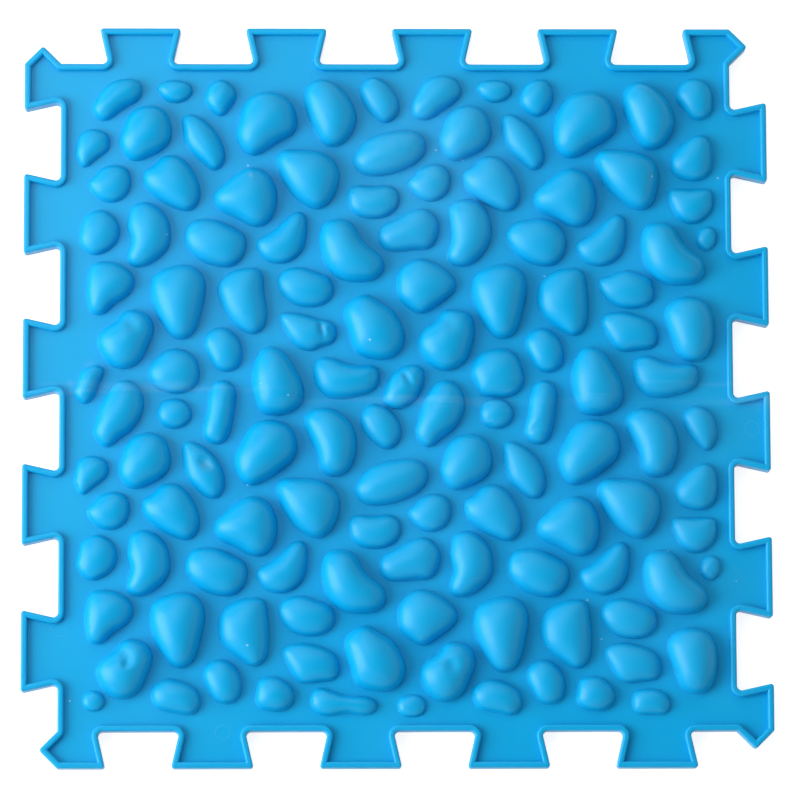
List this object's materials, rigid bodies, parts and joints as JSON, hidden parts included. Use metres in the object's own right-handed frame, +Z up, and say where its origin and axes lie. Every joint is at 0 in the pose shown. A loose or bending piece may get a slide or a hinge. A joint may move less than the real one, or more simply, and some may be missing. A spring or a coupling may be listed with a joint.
{
  "type": "sensory mat tile",
  "caption": "Square soft moulded floor tile for foot play, covered with rounded pebble domes, with dovetail puzzle tabs and a raised rim on every side.",
  "frame": {"origin": "middle of the tile, on the floor under it", "axes": "+Z up out of the floor, +X and +Y along the tile's sides"},
  "size_m": [0.2628, 0.2628, 0.0126],
  "materials": {
    "soft_pvc": "satin"
  },
  "bodies": {
    "root": {"corner_tab_far": "soft_pvc", "corner_tab_left": "soft_pvc", "corner_tab_near": "soft_pvc", "corner_tab_right": "soft_pvc", "field_sheet": "soft_pvc", "notch_lips_far": "soft_pvc", "notch_lips_left": "soft_pvc", "notch_lips_near": "soft_pvc", "notch_lips_right": "soft_pvc", "pebble_bean_triangle": "soft_pvc", "pebble_big_boot": "soft_pvc", "pebble_big_egg": "soft_pvc", "pebble_big_kidney": "soft_pvc", "pebble_broad_drop": "soft_pvc", "pebble_crescent": "soft_pvc", "pebble_edge_drop": "soft_pvc", "pebble_field_egg": "soft_pvc", "pebble_fish": "soft_pvc", "pebble_flat_oval": "soft_pvc", "pebble_half_moon": "soft_pvc", "pebble_left_drop": "soft_pvc", "pebble_little_egg": "soft_pvc", "pebble_long_egg": "soft_pvc", "pebble_lying_bean": "soft_pvc", "pebble_lying_egg": "soft_pvc", "pebble_notched_drop": "soft_pvc", "pebble_pointed_egg": "soft_pvc", "pebble_round_dome": "soft_pvc", "pebble_round_loaf": "soft_pvc", "pebble_side_boot": "soft_pvc", "pebble_small_bean": "soft_pvc", "pebble_small_oblong": "soft_pvc", "pebble_small_oval": "soft_pvc", "pebble_spindle": "soft_pvc", "pebble_standing_egg": "soft_pvc", "pebble_tall_drop": "soft_pvc", "pebble_tall_kidney": "soft_pvc", "pebble_three_corner": "soft_pvc", "pebble_tilted_oval": "soft_pvc", "pebble_tiny_dome": "soft_pvc", "pebble_two_lobed": "soft_pvc", "pebble_upright_kidney": "soft_pvc", "pebble_wide_triangle": "soft_pvc", "tab_far_1": "soft_pvc", "tab_far_2": "soft_pvc", "tab_far_3": "soft_pvc", "tab_far_4": "soft_pvc", "tab_left_1": "soft_pvc", "tab_left_2": "soft_pvc", "tab_left_3": "soft_pvc", "tab_left_4": "soft_pvc", "tab_near_1": "soft_pvc", "tab_near_2": "soft_pvc", "tab_near_3": "soft_pvc", "tab_near_4": "soft_pvc", "tab_right_1": "soft_pvc", "tab_right_2": "soft_pvc", "tab_right_3": "soft_pvc", "tab_right_4": "soft_pvc"}
  },
  "joints": []
}
